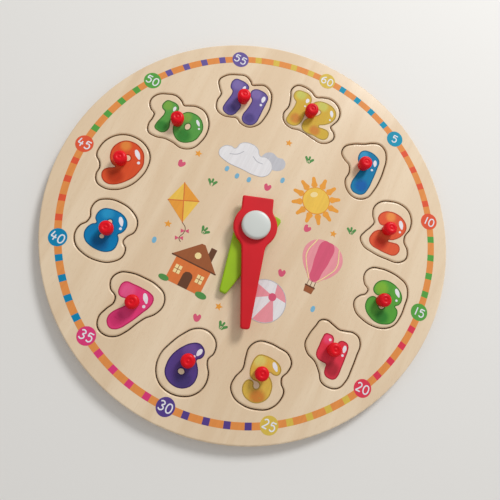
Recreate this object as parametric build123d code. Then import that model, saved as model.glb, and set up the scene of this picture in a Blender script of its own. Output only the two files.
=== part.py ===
from build123d import *
import os
from math import pi, sin, sqrt

# A wooden clock puzzle, in millimetres. The board lies flat: Z points up, +Y points
# to the 12 and +X to the 3. The origin is the centre of the board's underside.

# Board: a face panel with twelve cut-outs, glued on a plain backing panel
board_diameter = 300.0
backing_thickness = 3.0
face_thickness = 6.0
rim_round = 1.2
foot_round = 0.6
recess_round = 1.0

# Number pieces, sawn out of the face panel, so they are as thick as it is
minute_band = 20.0  # printed band between the number blanks and the board's edge
blank_bridge = 4.35  # wood between two neighbouring blanks, along the ring
saw_gap = 0.8
piece_round = 1.5

# Knobs: turned pegs with a tenon glued in a blind hole in the piece
knob_diameter = 10.0
knob_height = 9.0
tenon_diameter = 4.0
tenon_floor = 1.3  # wood left under the tenon's hole
tenon_side_gap = 0.05
tenon_end_gap = 0.2

# Hands: a round hub with a square tail and a tapered blade. The hour hand's sides run
# straight off its smaller hub, and its short tail widens to the back
hand_thickness = 4.5
blade_tip_round = 2.0
hour_hub_diameter = 28.0
hour_tail_root_width = 27.8
hour_tail_width = 31.6
hour_tail_reach = 14.7
hour_tail_round = 2.8
hour_reach = 52.5
hour_neck_width = 27.2
hour_tip_width = 5.2
hour_bearing = 180.0  # degrees clockwise from the 12
hub_diameter = 31.6
tail_width = 22.6
tail_reach = 21.6
tail_corner_round = 1.0
tail_neck_round = 6.0
minute_tip_clearance = 7.0  # from the blade's tip to the number blanks
minute_neck_width = 17.2
minute_tip_width = 6.2
minute_neck_round = 9.0
minute_bearing = 160.2
hand_top_round = 1.2
hand_bottom_round = 0.5

# Pivot: a flanged barrel from behind, closed in front by a screw
barrel_diameter = 8.0
barrel_fit = 0.1  # radial, in the panels and the washers
hand_fit = 0.08  # radial, in the hands' bores
flange_diameter = 16.0
flange_thickness = 1.2
flange_inset = 0.3
washer_diameter = 17.0
washer_thickness = 0.6
end_play = 0.1
screw_diameter = 4.0
screw_length = 9.0
screw_spare = 1.0  # empty bore below the screw's tip
thread_gap = 0.05
screw_head_diameter = 7.5
screw_head_height = 1.8
screw_head_round = 0.6
driver_slot_width = 1.0
driver_slot_depth = 0.8

# Cap: a plastic dome that snaps over a dished base held by the screw
cap_diameter = 20.7
cap_wall = 1.2
cap_skirt = 2.1
head_room = 0.4
snap_gap = 0.08
base_floor = 1.0
base_wall = 1.0
base_hole_gap = 0.2

cut_overrun = 1.0
pick_band = 0.05  # height or reach within which an edge or corner is picked

# Heights of the stack, from the table up
board_radius = board_diameter / 2
face_top = backing_thickness + face_thickness
hour_bottom = face_top + washer_thickness
middle_washer_bottom = hour_bottom + hand_thickness
minute_bottom = middle_washer_bottom + washer_thickness
upper_washer_bottom = minute_bottom + hand_thickness
barrel_top = upper_washer_bottom + washer_thickness + end_play
head_bottom = barrel_top + base_floor
head_top = head_bottom + screw_head_height
cap_shoulder = barrel_top + cap_skirt
cap_ceiling = head_top + head_room
cap_top = cap_ceiling + cap_wall

# Twelve square blanks share the ring, with a bridge of wood between neighbours
hours = 12
half_chord_share = sin(pi / hours)
number_ring_radius = (board_radius - minute_band + blank_bridge / 2) / (1 + half_chord_share)
blank_half = number_ring_radius * half_chord_share - blank_bridge / 2
tightest_bend_share = 0.0605  # radius of the outlines' tightest bend, of half a blank
minute_reach = number_ring_radius - blank_half - minute_tip_clearance

# Middle of each blank, in shares of the ring's radius
place_shares = {
    1: (0.500, 0.795), 2: (0.895, 0.457), 3: (1.019, -0.033), 4: (0.829, -0.543),
    5: (0.486, -0.871), 6: (-0.010, -0.990), 7: (-0.505, -0.857), 8: (-0.876, -0.471),
    9: (-1.033, -0.005), 10: (-0.843, 0.457), 11: (-0.505, 0.848), 12: (0.010, 1.000),
}

# Foot of each knob, in shares of half a blank from the blank's middle
knob_shares = {
    1: (0.06, 0.07), 2: (-0.11, -0.06), 3: (0.02, -0.07), 4: (0.04, 0.14),
    5: (-0.10, 0.05), 6: (0.03, 0.00), 7: (0.05, 0.18), 8: (0.01, 0.04),
    9: (0.01, 0.06), 10: (0.06, 0.00), 11: (0.05, 0.00), 12: (-0.07, -0.02),
}

# Saw line round each number, in shares of half a blank, drawn by hand and
# anticlockwise, and how far each curve's handles reach along its stretch
handle_share = 0.35
outline_shares = {
    1: [(0.06, 0.93), (-0.16, 0.78), (-0.50, 0.59), (-0.70, 0.38), (-0.70, 0.14),
        (-0.54, -0.01), (-0.34, -0.11), (-0.24, -0.32), (-0.25, -0.62), (-0.09, -0.87),
        (0.24, -1.00), (0.58, -0.83), (0.70, -0.48), (0.74, -0.06), (0.72, 0.30),
        (0.66, 0.65), (0.50, 0.91), (0.27, 1.00)],
    2: [(-0.04, 0.92), (-0.34, 0.86), (-0.62, 0.70), (-0.75, 0.42), (-0.68, 0.16),
        (-0.56, -0.03), (-0.60, -0.18), (-0.72, -0.44), (-0.77, -0.64), (-0.62, -0.82),
        (-0.25, -0.90), (0.20, -0.89), (0.62, -0.80), (0.77, -0.60), (0.71, -0.34),
        (0.52, -0.14), (0.48, -0.01), (0.54, 0.32), (0.47, 0.62), (0.24, 0.86)],
    3: [(-0.02, 0.86), (-0.36, 0.82), (-0.63, 0.70), (-0.74, 0.44), (-0.63, 0.18),
        (-0.46, 0.04), (-0.48, -0.08), (-0.62, -0.21), (-0.71, -0.42), (-0.57, -0.69),
        (-0.28, -0.82), (0.04, -0.86), (0.38, -0.79), (0.64, -0.58), (0.74, -0.24),
        (0.74, 0.12), (0.71, 0.44), (0.54, 0.73), (0.28, 0.83)],
    4: [(-0.42, 0.84), (-0.59, 0.76), (-0.66, 0.54), (-0.74, 0.20), (-0.74, -0.04),
        (-0.58, -0.25), (-0.28, -0.38), (-0.04, -0.61), (0.10, -0.80), (0.36, -0.86),
        (0.64, -0.75), (0.76, -0.48), (0.78, -0.12), (0.77, 0.28), (0.74, 0.64),
        (0.62, 0.80), (0.42, 0.85), (0.23, 0.80), (0.02, 0.75), (-0.21, 0.80)],
    5: [(-0.23, 0.90), (-0.51, 0.82), (-0.69, 0.54), (-0.66, 0.25), (-0.60, -0.04),
        (-0.70, -0.37), (-0.70, -0.60), (-0.52, -0.82), (-0.16, -0.92), (0.20, -0.87),
        (0.53, -0.70), (0.70, -0.40), (0.70, -0.12), (0.54, 0.06), (0.50, 0.17),
        (0.58, 0.40), (0.59, 0.64), (0.40, 0.85), (0.08, 0.90)],
    6: [(0.12, 0.95), (-0.20, 0.84), (-0.42, 0.58), (-0.61, 0.21), (-0.72, -0.16),
        (-0.65, -0.56), (-0.42, -0.84), (-0.08, -0.96), (0.28, -0.92), (0.59, -0.73),
        (0.74, -0.40), (0.69, -0.08), (0.54, 0.15), (0.51, 0.24), (0.58, 0.46),
        (0.52, 0.74), (0.33, 0.90)],
    7: [(0.00, 0.92), (-0.40, 0.88), (-0.68, 0.75), (-0.79, 0.51), (-0.68, 0.25),
        (-0.46, 0.11), (-0.42, -0.04), (-0.52, -0.29), (-0.59, -0.56), (-0.48, -0.82),
        (-0.22, -0.92), (0.08, -0.82), (0.26, -0.59), (0.41, -0.28), (0.53, -0.07),
        (0.73, 0.16), (0.82, 0.44), (0.70, 0.75), (0.40, 0.89)],
    8: [(-0.04, 0.91), (-0.42, 0.84), (-0.66, 0.65), (-0.70, 0.38), (-0.60, 0.14),
        (-0.61, 0.01), (-0.73, -0.19), (-0.74, -0.44), (-0.57, -0.71), (-0.24, -0.85),
        (0.16, -0.86), (0.52, -0.73), (0.74, -0.42), (0.70, -0.21), (0.54, -0.04),
        (0.56, 0.08), (0.69, 0.32), (0.63, 0.62), (0.34, 0.84)],
    9: [(0.00, 0.90), (-0.34, 0.81), (-0.60, 0.57), (-0.73, 0.20), (-0.68, -0.12),
        (-0.51, -0.26), (-0.44, -0.38), (-0.42, -0.62), (-0.29, -0.82), (-0.04, -0.88),
        (0.26, -0.79), (0.54, -0.54), (0.72, -0.16), (0.76, 0.24), (0.66, 0.59), (0.36, 0.84)],
    10: [(-0.33, 0.74), (-0.64, 0.66), (-0.89, 0.48), (-0.96, 0.20), (-0.82, -0.01),
         (-0.67, -0.10), (-0.65, -0.24), (-0.66, -0.48), (-0.54, -0.70), (-0.32, -0.73),
         (0.00, -0.65), (0.24, -0.65), (0.52, -0.69), (0.80, -0.56), (0.96, -0.22),
         (0.99, 0.10), (0.86, 0.49), (0.60, 0.71), (0.30, 0.72), (0.10, 0.63), (-0.01, 0.58),
         (-0.14, 0.67)],
    11: [(-0.21, 0.77), (-0.48, 0.68), (-0.80, 0.45), (-0.89, 0.24), (-0.76, 0.00),
         (-0.64, -0.14), (-0.64, -0.42), (-0.50, -0.70), (-0.24, -0.77), (-0.04, -0.71),
         (0.12, -0.65), (0.32, -0.74), (0.58, -0.74), (0.79, -0.56), (0.90, -0.16),
         (0.86, 0.34), (0.70, 0.66), (0.44, 0.77), (0.20, 0.66), (0.09, 0.60), (-0.02, 0.69)],
    12: [(-0.58, 0.74), (-0.83, 0.67), (-0.93, 0.44), (-0.85, 0.21), (-0.77, -0.12),
         (-0.81, -0.44), (-0.68, -0.66), (-0.42, -0.75), (-0.16, -0.69), (0.04, -0.69),
         (0.36, -0.74), (0.66, -0.74), (0.87, -0.58), (0.94, -0.40), (0.86, -0.23),
         (0.74, -0.15), (0.70, -0.09), (0.74, 0.02), (0.81, 0.23), (0.78, 0.48), (0.61, 0.68),
         (0.33, 0.77), (0.07, 0.70), (-0.12, 0.61), (-0.35, 0.71)],
}

# Side of a knob from its foot to the ringed dimple on top, in shares of its radius
# and its height
knob_profile_shares = [
    (0.84, 0.00), (0.89, 0.16), (0.95, 0.36), (1.00, 0.62), (0.97, 0.79), (0.86, 0.91),
    (0.67, 0.975), (0.47, 0.99), (0.29, 0.955), (0.14, 0.975), (0.00, 1.00),
]

# Crown of the cap from its shoulder to the middle, in shares of its radius and its rise
crown_profile_shares = [(1.00, 0.00), (0.94, 0.52), (0.79, 0.80), (0.45, 0.955), (0.00, 1.00)]


def disc(diameter, bottom, top):
    """A round disc or rod that stands between two heights."""
    return Pos(0, 0, bottom) * extrude(Circle(diameter / 2), top - bottom)


def ring(outer_diameter, inner_diameter, bottom, top):
    """A washer between two heights."""
    hole = disc(inner_diameter, bottom - cut_overrun, top + cut_overrun)
    return disc(outer_diameter, bottom, top) - hole


def edges_at(solid, height):
    """The edges that lie flat at one height."""
    low = height - pick_band
    high = height + pick_band
    return solid.edges().filter_by_position(Axis.Z, low, high)


def place_of(hour):
    """The middle of a number's blank on the board."""
    across_share, up_share = place_shares[hour]
    return Vector(across_share * number_ring_radius, up_share * number_ring_radius)


def knob_place(hour):
    """The foot of a number's knob on the board."""
    across_share, up_share = knob_shares[hour]
    return place_of(hour) + Vector(across_share * blank_half, up_share * blank_half)


def sawn_face(hour, growth):
    """The face inside a number's saw line, grown or shrunk along its edge."""
    middle = place_of(hour)
    marks = [middle + Vector(x * blank_half, y * blank_half) for x, y in outline_shares[hour]]
    headings = []
    corners = []
    for i, mark in enumerate(marks):
        before = mark - marks[i - 1]
        after = marks[(i + 1) % len(marks)] - mark
        turn = before.normalized() * after.length + after.normalized() * before.length
        heading = turn.normalized()
        headings.append(heading)
        corners.append(mark + Vector(heading.Y, -heading.X) * growth)
    stretches = []
    for i, end in enumerate(corners):
        start = corners[i - 1]
        handle = handle_share * (end - start).length
        leave = start + headings[i - 1] * handle
        arrive = end - headings[i] * handle
        stretches.append(Edge.make_bezier(start, leave, arrive, end))
    return Face(Wire(stretches))


def make_backing_board():
    """The plain back panel, counterbored from below for the pivot's flange."""
    panel = disc(board_diameter, 0, backing_thickness)
    panel = fillet(edges_at(panel, 0), foot_round)
    barrel_hole = disc(barrel_diameter + 2 * barrel_fit, -cut_overrun, backing_thickness + cut_overrun)
    counterbore = disc(flange_diameter + 2 * barrel_fit, -cut_overrun, flange_inset + flange_thickness)
    return panel - barrel_hole - counterbore


def make_face_board():
    """The front panel with a through cut for each number piece."""
    panel = disc(board_diameter, backing_thickness, face_top)
    panel = fillet(edges_at(panel, face_top), rim_round)
    for hour in outline_shares:
        through = extrude(sawn_face(hour, saw_gap / 2), face_thickness + 2 * cut_overrun)
        panel -= Pos(0, 0, backing_thickness - cut_overrun) * through
    top_face = panel.faces().sort_by(Axis.Z)[-1]
    cut_edges = [edge for wire in top_face.inner_wires() for edge in wire.edges()]
    tightest_wall_bend = tightest_bend_share * blank_half - saw_gap / 2
    panel = fillet(cut_edges, min(recess_round, tightest_wall_bend))
    barrel_hole = disc(
        barrel_diameter + 2 * barrel_fit, backing_thickness - cut_overrun, face_top + cut_overrun
    )
    return panel - barrel_hole


def make_number(hour):
    """One number piece, rounded above, with a blind hole for the knob's tenon."""
    blank = Pos(0, 0, backing_thickness) * extrude(sawn_face(hour, -saw_gap / 2), face_thickness)
    piece = fillet(edges_at(blank, face_top), piece_round)
    foot = knob_place(hour)
    hole = disc(
        tenon_diameter + 2 * tenon_side_gap, backing_thickness + tenon_floor, face_top + cut_overrun
    )
    return piece - Pos(foot.X, foot.Y, 0) * hole


def make_knob(hour):
    """One turned knob: a round-shouldered peg with a ringed dimple on top and a tenon below."""
    knob_radius = knob_diameter / 2
    tenon_length = face_thickness - tenon_floor - tenon_end_gap
    side_points = [(r * knob_radius, z * knob_height) for r, z in knob_profile_shares]
    side = Spline(*side_points, tangents=[(0, 1), (-1, 0)], tangent_scalars=[0.5, 1])
    rim = side_points[0]
    outline = side + Polyline(
        (0, knob_height), (0, -tenon_length), (tenon_diameter / 2, -tenon_length),
        (tenon_diameter / 2, 0), rim
    )
    half_section = Plane.XZ * make_face(outline)
    foot = knob_place(hour)
    return Pos(foot.X, foot.Y, face_top) * revolve(half_section, Axis.Z)


def hand_outline(hub_radius, blade_sizes, tail_sizes):
    """The flat outline of a hand that points to +Y."""
    reach, neck_width, tip_width, neck_round = blade_sizes
    back_reach, root_width, back_width, root_round, back_round = tail_sizes
    tail = make_face(Polyline(
        (-root_width / 2, 0), (-back_width / 2, -back_reach), (back_width / 2, -back_reach),
        (root_width / 2, 0), close=True
    ))
    neck_start = sqrt(hub_radius ** 2 - (neck_width / 2) ** 2)
    blade = make_face(Polyline(
        (-neck_width / 2, 0), (-neck_width / 2, neck_start), (-tip_width / 2, reach),
        (tip_width / 2, reach), (neck_width / 2, neck_start), (neck_width / 2, 0), close=True
    ))
    outline = Circle(hub_radius) + tail + blade

    def corners(place):
        return outline.vertices().filter_by_position(Axis.Y, place - pick_band, place + pick_band)

    if root_round:
        root_start = -sqrt(hub_radius ** 2 - (root_width / 2) ** 2)
        outline = fillet(corners(root_start), root_round)
    if neck_round:
        outline = fillet(corners(neck_start), neck_round)
    outline = fillet(corners(-back_reach), back_round)
    return fillet(corners(reach), blade_tip_round)


def make_hand(outline, bottom, bearing):
    """A hand laid at its height and turned clockwise from the 12."""
    hand = extrude(outline, hand_thickness)
    hand = fillet(edges_at(hand, hand_thickness), hand_top_round)
    hand = fillet(edges_at(hand, 0), hand_bottom_round)
    hand -= disc(barrel_diameter + 2 * hand_fit, -cut_overrun, hand_thickness + cut_overrun)
    return Pos(0, 0, bottom) * Rot(0, 0, -bearing) * hand


def make_pivot_barrel():
    """The flanged metal barrel that the hands turn on, bored from above."""
    flange = disc(flange_diameter, flange_inset, flange_inset + flange_thickness)
    barrel = disc(barrel_diameter, flange_inset, barrel_top)
    bore_bottom = head_bottom - screw_length - screw_spare
    bore = disc(screw_diameter + 2 * thread_gap, bore_bottom, barrel_top + cut_overrun)
    return flange + barrel - bore


def make_pivot_screw():
    """The cross-slotted screw that closes the pivot in front."""
    shank = disc(screw_diameter, head_bottom - screw_length, head_bottom)
    head = disc(screw_head_diameter, head_bottom, head_top)
    head = fillet(edges_at(head, head_top), screw_head_round)
    slot = Box(
        screw_head_diameter, driver_slot_width, driver_slot_depth,
        align=(Align.CENTER, Align.CENTER, Align.MAX)
    )
    cross = Pos(0, 0, head_top) * (slot + Rot(0, 0, 90) * slot)
    return shank + head - cross


def dome(radius, bottom, ceiling):
    """A solid dome: a straight skirt up to the shoulder, then a flat crown."""
    rise = ceiling - cap_shoulder
    crown_points = [(r * radius, cap_shoulder + z * rise) for r, z in crown_profile_shares]
    crown = Spline(*crown_points, tangents=[(0, 1), (-1, 0)], tangent_scalars=[0.5, 1])
    outline = crown + Polyline((0, ceiling), (0, bottom), (radius, bottom), (radius, cap_shoulder))
    return revolve(Plane.XZ * make_face(outline), Axis.Z)


def make_centre_cap():
    """The domed plastic cap over the screw."""
    inner_radius = cap_diameter / 2 - cap_wall
    return dome(cap_diameter / 2, barrel_top, cap_top) - dome(
        inner_radius, barrel_top - cut_overrun, cap_ceiling
    )


def make_cap_base():
    """The dished base that the cap snaps over."""
    base_diameter = cap_diameter - 2 * (cap_wall + snap_gap)
    dish = disc(base_diameter, barrel_top, cap_shoulder - snap_gap)
    hollow = disc(base_diameter - 2 * base_wall, head_bottom, cap_shoulder + cut_overrun)
    screw_hole = disc(
        screw_diameter + 2 * base_hole_gap, barrel_top - cut_overrun, head_bottom + cut_overrun
    )
    return dish - hollow - screw_hole


def make_washer(bottom):
    """A nylon washer that slips over the barrel."""
    bore_diameter = barrel_diameter + 2 * barrel_fit
    return ring(washer_diameter, bore_diameter, bottom, bottom + washer_thickness)


hour_outline = hand_outline(
    hour_hub_diameter / 2,
    (hour_reach, hour_neck_width, hour_tip_width, 0),
    (hour_tail_reach, hour_tail_root_width, hour_tail_width, 0, hour_tail_round)
)
minute_outline = hand_outline(
    hub_diameter / 2,
    (minute_reach, minute_neck_width, minute_tip_width, minute_neck_round),
    (tail_reach, tail_width, tail_width, tail_neck_round, tail_corner_round)
)
pieces = {
    "backing_board": make_backing_board(),
    "face_board": make_face_board(),
    "lower_washer": make_washer(face_top),
    "hour_hand": make_hand(hour_outline, hour_bottom, hour_bearing),
    "middle_washer": make_washer(middle_washer_bottom),
    "minute_hand": make_hand(minute_outline, minute_bottom, minute_bearing),
    "upper_washer": make_washer(upper_washer_bottom),
    "pivot_barrel": make_pivot_barrel(),
    "pivot_screw": make_pivot_screw(),
    "cap_base": make_cap_base(),
    "centre_cap": make_centre_cap(),
}
for hour in outline_shares:
    pieces[f"number_{hour}"] = make_number(hour)
    pieces[f"knob_{hour}"] = make_knob(hour)

for name, shape in pieces.items():
    export_step(shape, f"parts/{name}.step")
print(f"{len(pieces)} parts; minute hand reaches {minute_reach:.2f} mm, blanks {2 * blank_half:.2f} mm")
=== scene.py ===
# %% [markdown]
# # A wooden clock puzzle
#
# The real toy is a round birch board with twelve number pieces, turned red knobs and two loose hands.
# Its construction comes in as a fixed frame of solids. What is left for Blender is what the eye sees:
# birch plywood, screen-printed inks, glossy paint and moulded plastic.
#
# Every finished mesh sits at the origin with its place in its vertices, as the frame's own nodes do, so
# that patterns on Object coordinates run on from piece to piece as the grain of one sawn panel does.

import math

import bpy
from mathutils import Matrix, Vector


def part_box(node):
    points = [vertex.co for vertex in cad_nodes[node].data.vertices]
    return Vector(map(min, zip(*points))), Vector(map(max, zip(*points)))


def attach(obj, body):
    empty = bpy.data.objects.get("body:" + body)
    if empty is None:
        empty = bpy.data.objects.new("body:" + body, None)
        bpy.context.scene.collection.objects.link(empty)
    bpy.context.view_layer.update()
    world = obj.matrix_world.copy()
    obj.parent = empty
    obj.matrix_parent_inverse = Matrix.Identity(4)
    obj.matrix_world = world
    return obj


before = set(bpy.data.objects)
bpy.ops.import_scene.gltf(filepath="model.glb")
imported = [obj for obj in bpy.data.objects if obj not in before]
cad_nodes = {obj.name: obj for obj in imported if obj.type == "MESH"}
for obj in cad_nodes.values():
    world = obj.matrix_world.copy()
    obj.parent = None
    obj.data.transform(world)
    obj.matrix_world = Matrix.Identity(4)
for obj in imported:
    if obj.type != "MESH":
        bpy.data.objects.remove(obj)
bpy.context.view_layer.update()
mm = 0.001
hours = range(1, 13)
board_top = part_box("face_board")[1].z
board_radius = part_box("face_board")[1].x
print("board", round(2 * board_radius / mm, 1), "mm wide, its face at", round(board_top / mm, 1), "mm")

# %% [markdown]
# ## The camera first
#
# The clock was photographed from about a third of a metre above its lower half, with its 12 leaning to the
# right. A camera can be turned by hand until it fits. Here its three directions are worked out instead: it
# looks at one point of the board, and its roll is how far the 12 leans. Half the picture's width and the
# focal length, both in pixels, give the angle of view.

# %% Camera
camera_place = Vector((-6.3, -94.6, 339.8)) * mm
look_point = Vector((4.3 * mm, -15.4 * mm, board_top))
lean_of_twelve = math.radians(25.7)
half_picture = 250
focal_length = 470
view_angle = 2 * math.atan(half_picture / focal_length)
nearest_seen = 0.01

forward = (look_point - camera_place).normalized()
image_up = Vector((-math.sin(lean_of_twelve), math.cos(lean_of_twelve), 0))
camera_right = forward.cross(image_up).normalized()
camera_up = camera_right.cross(forward)
camera = bpy.data.objects.new("camera", bpy.data.cameras.new("camera"))
bpy.context.scene.collection.objects.link(camera)
camera.data.angle = view_angle
camera.data.clip_start = nearest_seen
camera.matrix_world = Matrix.Translation(camera_place) @ Matrix(
    (camera_right, camera_up, -forward)
).transposed().to_4x4()
bpy.context.scene.camera = camera
print("camera", round((look_point - camera_place).length, 3), "m from the board")

# %% [markdown]
# ## Plain floor and soft light
#
# One broad lamp stands beyond the top of the picture, a little to its right, where it lights the rounded
# edges of the cuts and lays soft shadows down and to the left. The world fills the rest. Together they are
# set to the level at which a colour renders about as it is written.

# %% Floor, lamp and world
floor_colour = (0.80, 0.79, 0.77, 1)
floor_roughness = 0.8
floor_size = 6
floor_drop = 0.05 * mm
lamp_bearing = math.radians(10)
lamp_elevation = math.radians(40)
lamp_distance = 1.6
lamp_width = 0.48
lamp_power = 16.4
fill_strength = 0.51
fill_colour = (1.0, 0.985, 0.96, 1)

bpy.ops.object.select_all(action="DESELECT")
bpy.ops.mesh.primitive_plane_add(size=floor_size, location=(0, 0, -floor_drop))
floor = bpy.context.object
floor.name = "floor"
floor_material = bpy.data.materials.new("floor_paper")
floor_material.use_nodes = True
floor_surface = floor_material.node_tree.nodes["Principled BSDF"]
floor_surface.inputs["Base Color"].default_value = floor_colour
floor_surface.inputs["Roughness"].default_value = floor_roughness
floor.data.materials.append(floor_material)

lamp = bpy.data.objects.new("lamp", bpy.data.lights.new("lamp", "AREA"))
bpy.context.scene.collection.objects.link(lamp)
lamp.data.shape = "DISK"
lamp.data.size = lamp_width
lamp.data.energy = lamp_power
lamp_direction = Vector((
    math.sin(lamp_bearing) * math.cos(lamp_elevation),
    math.cos(lamp_bearing) * math.cos(lamp_elevation),
    math.sin(lamp_elevation),
))
lamp.location = lamp_direction * lamp_distance
lamp.rotation_euler = lamp_direction.to_track_quat("Z", "Y").to_euler()

world = bpy.data.worlds.new("room")
world.use_nodes = True
room_light = world.node_tree.nodes["Background"]
room_light.inputs["Color"].default_value = fill_colour
room_light.inputs["Strength"].default_value = fill_strength
bpy.context.scene.world = world
bpy.context.scene.view_settings.view_transform = "Standard"
print("lamp", lamp_distance, "m away and", lamp_width, "m wide")

# %% [markdown]
# ## Small helpers for materials
#
# A material is a graph of nodes. A few helpers keep the graphs short. They turn the 0 to 255 colours that a
# picture editor shows into linear ones, add a node with its inputs, mix two colours, and carry a value from
# one range to another.

# %% Node helpers
def tint(red, green, blue):
    """A colour as a picture editor shows it, made linear."""
    parts = [value / 255 for value in (red, green, blue)]
    return tuple(v / 12.92 if v <= 0.04045 else ((v + 0.055) / 1.055) ** 2.4 for v in parts) + (1,)


def add_node(tree, kind, inputs=(), **settings):
    """Adds a node. Each input is a socket of another node to link, or a plain value."""
    node = tree.nodes.new(kind)
    for name, value in settings.items():
        setattr(node, name, value)
    for socket, value in dict(inputs).items():
        if isinstance(value, bpy.types.NodeSocket):
            tree.links.new(value, node.inputs[socket])
        else:
            node.inputs[socket].default_value = value
    return node


def mix(tree, factor, first, second):
    """The mixed colour of two colours."""
    inputs = {0: factor, 6: first, 7: second}
    return add_node(tree, "ShaderNodeMix", inputs, data_type="RGBA").outputs[2]


def ramp(tree, value, start, end, low=0.0, high=1.0):
    """Carries a value smoothly from low, where it is at start, to high, where it is at end."""
    inputs = {"Value": value, "From Min": start, "From Max": end, "To Min": low, "To Max": high}
    return add_node(tree, "ShaderNodeMapRange", inputs, interpolation_type="SMOOTHSTEP").outputs["Result"]


def times(tree, value, factor):
    return add_node(tree, "ShaderNodeMath", {0: value, 1: factor}, operation="MULTIPLY").outputs[0]


# %% [markdown]
# Wood needs a noise that is drawn out along the grain. What several materials share is built once, as a
# node group with named sockets, and placed in each of them. A surface's even values, such as its gloss,
# are set on the surface itself, where an exporter finds them.

# %% Noise, groups and surfaces
def stretched_noise(tree, coordinates, stretch, scale, detail=2.0, distortion=0.0):
    """Noise drawn out along the axes whose stretch is small."""
    mapping = add_node(tree, "ShaderNodeMapping", {"Vector": coordinates, "Scale": stretch})
    inputs = {"Vector": mapping.outputs[0], "Scale": scale, "Detail": detail, "Distortion": distortion}
    return add_node(tree, "ShaderNodeTexNoise", inputs).outputs["Fac"]


def new_group(name, inputs, outputs):
    """A node group with its sockets, its tree ready for nodes."""
    group = bpy.data.node_groups.new(name, "ShaderNodeTree")
    for socket, kind, value in inputs:
        made = group.interface.new_socket(socket, in_out="INPUT", socket_type=kind)
        made.default_value = value
    for socket, kind in outputs:
        group.interface.new_socket(socket, in_out="OUTPUT", socket_type=kind)
    return group, group.nodes.new("NodeGroupInput"), group.nodes.new("NodeGroupOutput")


def place_group(tree, group, inputs=()):
    return add_node(tree, "ShaderNodeGroup", inputs, node_tree=group)


def new_material(name, roughness, **sockets):
    """A material with an empty Principled surface, whose even values sit on its own sockets."""
    material = bpy.data.materials.new(name)
    material.use_nodes = True
    surface = material.node_tree.nodes["Principled BSDF"]
    surface.inputs["Roughness"].default_value = roughness
    for socket, value in sockets.items():
        surface.inputs[socket.replace("_", " ")].default_value = value
    return material, material.node_tree, surface


def bump(tree, surface, height, strength, distance):
    node = add_node(tree, "ShaderNodeBump", {"Height": height, "Strength": strength, "Distance": distance})
    tree.links.new(node.outputs[0], surface.inputs["Normal"])


# %% [markdown]
# ## Birch grain
#
# Birch is pale and quiet. Its figure is broad soft bands, faint streaks along the grain and short fine
# pores. The grain of this board runs from 6 to 12, along Y. One node group makes the three masks and a
# height, and the wood and the inks on it both use them, because thin ink lets the grain through.

# %% Birch grain group
band_scale = 48
streak_scale = 620
pore_scale = 2300
birch, _, birch_out = new_group(
    "birch_grain",
    [],
    [(name, "NodeSocketFloat") for name in ("Bands", "Streaks", "Pores", "Height")],
)
birch_place = add_node(birch, "ShaderNodeTexCoord").outputs["Object"]
bands = stretched_noise(birch, birch_place, (1, 0.10, 1), band_scale, detail=3, distortion=0.8)
streaks = stretched_noise(birch, birch_place, (1, 0.045, 1), streak_scale, detail=3)
pores = stretched_noise(birch, birch_place, (1, 0.10, 1), pore_scale, detail=1)
pore_mask = ramp(birch, pores, 0.60, 0.72)
relief = {0: streaks, 1: times(birch, pore_mask, 0.5)}
height = add_node(birch, "ShaderNodeMath", relief, operation="SUBTRACT")
birch.links.new(ramp(birch, bands, 0.30, 0.70), birch_out.inputs["Bands"])
birch.links.new(ramp(birch, streaks, 0.32, 0.68), birch_out.inputs["Streaks"])
birch.links.new(pore_mask, birch_out.inputs["Pores"])
birch.links.new(height.outputs[0], birch_out.inputs["Height"])
print("birch group", len(birch.nodes), "nodes")

# %% [markdown]
# ## Birch plywood
#
# Seen from above the board is one veneer. Its cut edges show the plies: thin layers whose grain turns from
# one to the next, so every second one is darker end grain. Inside the rim the cut edges are darkened brown,
# partly for the saw's scorch and partly as painted shade down in the narrow cuts, while the outer rim is
# sanded clean. Which of these a point gets follows from its normal, its height and its distance from the
# middle. A thin varnish catches the lamp on the rounded edges.

# %% Plywood
veneer_light = tint(235, 213, 183)
veneer_deep = tint(224, 198, 165)
pore_colour = tint(178, 142, 103)
ply_light = tint(222, 192, 152)
ply_dark = tint(172, 130, 88)
# Brown for the cut edges inside the rim: partly the saw's scorch, partly painted shade in the narrow cuts.
scorch_and_shade_colour = tint(132, 94, 62)
ply_thickness = 1.2 * mm
scorch_and_shade_within = board_radius - 8 * mm
scorch_and_shade_fade = 2 * mm
scorch_and_shade_share = 0.2
veneer_streaks = 0.16
veneer_pores = 0.12


def cut_edge(tree):
    """The colour of a cut edge: its plies, darkened inside the rim by scorch and painted shade."""
    place = add_node(tree, "ShaderNodeTexCoord").outputs["Object"]
    parts = add_node(tree, "ShaderNodeSeparateXYZ", {0: place})
    turn = times(tree, parts.outputs["Z"], math.pi / ply_thickness)
    wave = add_node(tree, "ShaderNodeMath", {0: turn}, operation="SINE").outputs[0]
    layers = mix(tree, ramp(tree, wave, -0.25, 0.25), ply_light, ply_dark)
    fuzz = stretched_noise(tree, place, (1, 1, 3), 900, detail=3)
    layers = mix(tree, times(tree, ramp(tree, fuzz, 0.35, 0.65), 0.35), layers, ply_dark)
    flat = add_node(tree, "ShaderNodeVectorMath", {0: place, 1: (1, 1, 0)}, operation="MULTIPLY").outputs[0]
    reach = add_node(tree, "ShaderNodeVectorMath", {0: flat}, operation="LENGTH").outputs["Value"]
    # Inside the rim the cut edge is darkened: partly scorch, partly painted shade in the narrow cuts.
    inside = ramp(tree, reach, scorch_and_shade_within + scorch_and_shade_fade, scorch_and_shade_within, 0, scorch_and_shade_share)
    return mix(tree, inside, layers, scorch_and_shade_colour)


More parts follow.
